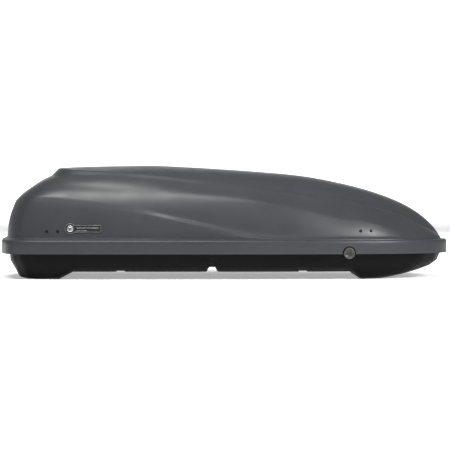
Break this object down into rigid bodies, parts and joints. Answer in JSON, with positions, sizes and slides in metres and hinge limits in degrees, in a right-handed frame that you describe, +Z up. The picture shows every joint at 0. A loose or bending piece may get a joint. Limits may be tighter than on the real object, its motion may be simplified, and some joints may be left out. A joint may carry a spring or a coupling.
{
  "type": "roof cargo box",
  "caption": "Long roof cargo box with a low black tray, a dark grey side-opening lid on gas struts, a key lock with a sliding bar and clamps for two roof bars.",
  "frame": {"origin": "middle of the box's plan, on the surface its two feet stand on", "axes": "+X towards the nose of the box, +Y towards the hinged side, +Z up; the lid opens on the -Y side"},
  "size_m": [1.818, 0.8, 0.4514],
  "materials": {
    "lid_plastic": "satin, finely textured",
    "tray_plastic": "grained",
    "zinc_steel": "zinc plated",
    "lock_ring_plastic": "semi-gloss",
    "badge_plastic": "gloss",
    "black_steel": "black powder coat",
    "strut_paint": "gloss black",
    "strut_rod_chrome": "polished",
    "strap_webbing": "woven webbing"
  },
  "bodies": {
    "tray": {"base_tray": "tray_plastic", "floor_rail_near": "zinc_steel", "floor_rail_far": "zinc_steel", "hinge_base_leaf_1": "zinc_steel", "hinge_base_leaf_2": "zinc_steel", "hinge_base_leaf_3": "zinc_steel", "hinge_pin_1": "zinc_steel", "hinge_pin_2": "zinc_steel", "hinge_pin_3": "zinc_steel", "lock_housing": "lock_ring_plastic", "bar_guide_1": "tray_plastic", "bar_guide_2": "tray_plastic", "bar_guide_3": "tray_plastic", "clamp_plate_1": "black_steel", "clamp_plate_2": "black_steel", "clamp_plate_3": "black_steel", "clamp_plate_4": "black_steel", "strut_foot_bracket_front": "black_steel", "strut_foot_bracket_rear": "black_steel", "load_strap_1": "strap_webbing", "load_strap_2": "strap_webbing", "strap_buckle_1": "tray_plastic", "strap_buckle_2": "tray_plastic"},
    "lid": {"lid_shell": "lid_plastic", "badge_plate": "badge_plastic", "lid_rib_1": "tray_plastic", "lid_rib_2": "tray_plastic", "lid_catch_front": "zinc_steel", "lid_catch_rear": "zinc_steel", "catch_rivet_1": "black_steel", "catch_rivet_2": "black_steel", "catch_rivet_3": "black_steel", "catch_rivet_4": "black_steel", "hinge_lid_leaf_1": "zinc_steel", "hinge_lid_leaf_2": "zinc_steel", "hinge_lid_leaf_3": "zinc_steel", "strut_lid_bracket_front": "black_steel", "strut_lid_bracket_rear": "black_steel"},
    "key": {"lock_cylinder": "zinc_steel", "lock_cam": "zinc_steel"},
    "bar": {"lock_bar": "zinc_steel", "latch_hook_front": "zinc_steel", "latch_hook_rear": "zinc_steel"},
    "strut_tube_rear": {"strut_tube_rear": "strut_paint"},
    "strut_rod_rear": {"strut_rod_rear": "strut_rod_chrome"},
    "strut_tube_front": {"strut_tube_front": "strut_paint"},
    "strut_rod_front": {"strut_rod_front": "strut_rod_chrome"},
    "clamp_bolt_1": {"u_bolt_1": "zinc_steel"},
    "hand_nut_1": {"knob_1": "tray_plastic"},
    "hand_nut_2": {"knob_2": "tray_plastic"},
    "clamp_bolt_2": {"u_bolt_2": "zinc_steel"},
    "hand_nut_3": {"knob_3": "tray_plastic"},
    "hand_nut_4": {"knob_4": "tray_plastic"},
    "clamp_bolt_3": {"u_bolt_3": "zinc_steel"},
    "hand_nut_5": {"knob_5": "tray_plastic"},
    "hand_nut_6": {"knob_6": "tray_plastic"},
    "clamp_bolt_4": {"u_bolt_4": "zinc_steel"},
    "hand_nut_7": {"knob_7": "tray_plastic"},
    "hand_nut_8": {"knob_8": "tray_plastic"}
  },
  "joints": [
    {"name": "lid_hinge", "type": "hinge", "parent": "tray", "child": "lid", "pos_m": [0, 0.386, 0.094], "axis": [-1, 0, 0], "range_deg": [0, 52]},
    {"name": "key_turn", "type": "hinge", "parent": "tray", "child": "key", "pos_m": [0.492, -0.368, 0.105], "axis": [0, -1, 0], "range_deg": [0, 90]},
    {"name": "bar_slide", "type": "slide", "parent": "tray", "child": "bar", "axis": [1, 0, 0], "range_m": [0, 0.0212]},
    {"name": "strut_swing_rear", "type": "hinge", "parent": "tray", "child": "strut_tube_rear", "pos_m": [-0.55, 0.17495, 0.056], "axis": [-1, 0, 0], "range_deg": [0, 26.2]},
    {"name": "strut_extend_rear", "type": "slide", "parent": "strut_tube_rear", "child": "strut_rod_rear", "axis": [0, 0.5013, 0.8653], "range_m": [0, 0.1157]},
    {"name": "strut_swing_front", "type": "hinge", "parent": "tray", "child": "strut_tube_front", "pos_m": [0.41, 0.20842, 0.056], "axis": [-1, 0, 0], "range_deg": [0, 26.2]},
    {"name": "strut_extend_front", "type": "slide", "parent": "strut_tube_front", "child": "strut_rod_front", "axis": [0, 0.3537, 0.9353], "range_m": [0, 0.1143]},
    {"name": "bolt_drop_1", "type": "slide", "parent": "tray", "child": "clamp_bolt_1", "axis": [0, 0, 1], "range_m": [-0.045, 0]},
    {"name": "nut_turn_1", "type": "hinge", "parent": "tray", "child": "hand_nut_1", "pos_m": [-0.447, -0.25, 0.06], "axis": [0, 0, 1], "continuous": true},
    {"name": "nut_turn_2", "type": "hinge", "parent": "tray", "child": "hand_nut_2", "pos_m": [-0.367, -0.25, 0.06], "axis": [0, 0, 1], "continuous": true},
    {"name": "bolt_drop_2", "type": "slide", "parent": "tray", "child": "clamp_bolt_2", "axis": [0, 0, 1], "range_m": [-0.045, 0]},
    {"name": "nut_turn_3", "type": "hinge", "parent": "tray", "child": "hand_nut_3", "pos_m": [-0.447, 0.25, 0.06], "axis": [0, 0, 1], "continuous": true},
    {"name": "nut_turn_4", "type": "hinge", "parent": "tray", "child": "hand_nut_4", "pos_m": [-0.367, 0.25, 0.06], "axis": [0, 0, 1], "continuous": true},
    {"name": "bolt_drop_3", "type": "slide", "parent": "tray", "child": "clamp_bolt_3", "axis": [0, 0, 1], "range_m": [-0.045, 0]},
    {"name": "nut_turn_5", "type": "hinge", "parent": "tray", "child": "hand_nut_5", "pos_m": [0.273, -0.25, 0.06], "axis": [0, 0, 1], "continuous": true},
    {"name": "nut_turn_6", "type": "hinge", "parent": "tray", "child": "hand_nut_6", "pos_m": [0.353, -0.25, 0.06], "axis": [0, 0, 1], "continuous": true},
    {"name": "bolt_drop_4", "type": "slide", "parent": "tray", "child": "clamp_bolt_4", "axis": [0, 0, 1], "range_m": [-0.045, 0]},
    {"name": "nut_turn_7", "type": "hinge", "parent": "tray", "child": "hand_nut_7", "pos_m": [0.273, 0.25, 0.06], "axis": [0, 0, 1], "continuous": true},
    {"name": "nut_turn_8", "type": "hinge", "parent": "tray", "child": "hand_nut_8", "pos_m": [0.353, 0.25, 0.06], "axis": [0, 0, 1], "continuous": true}
  ],
  "couplings": [
    {"joint": "key_turn", "follows": "bar_slide", "rad_per_m": 74.048},
    {"joint": "strut_swing_rear", "follows": "lid_hinge", "ratio": 0.5},
    {"joint": "strut_extend_rear", "follows": "lid_hinge", "m_per_rad": 0.12708},
    {"joint": "strut_swing_front", "follows": "lid_hinge", "ratio": 0.5},
    {"joint": "strut_extend_front", "follows": "lid_hinge", "m_per_rad": 0.12554}
  ]
}
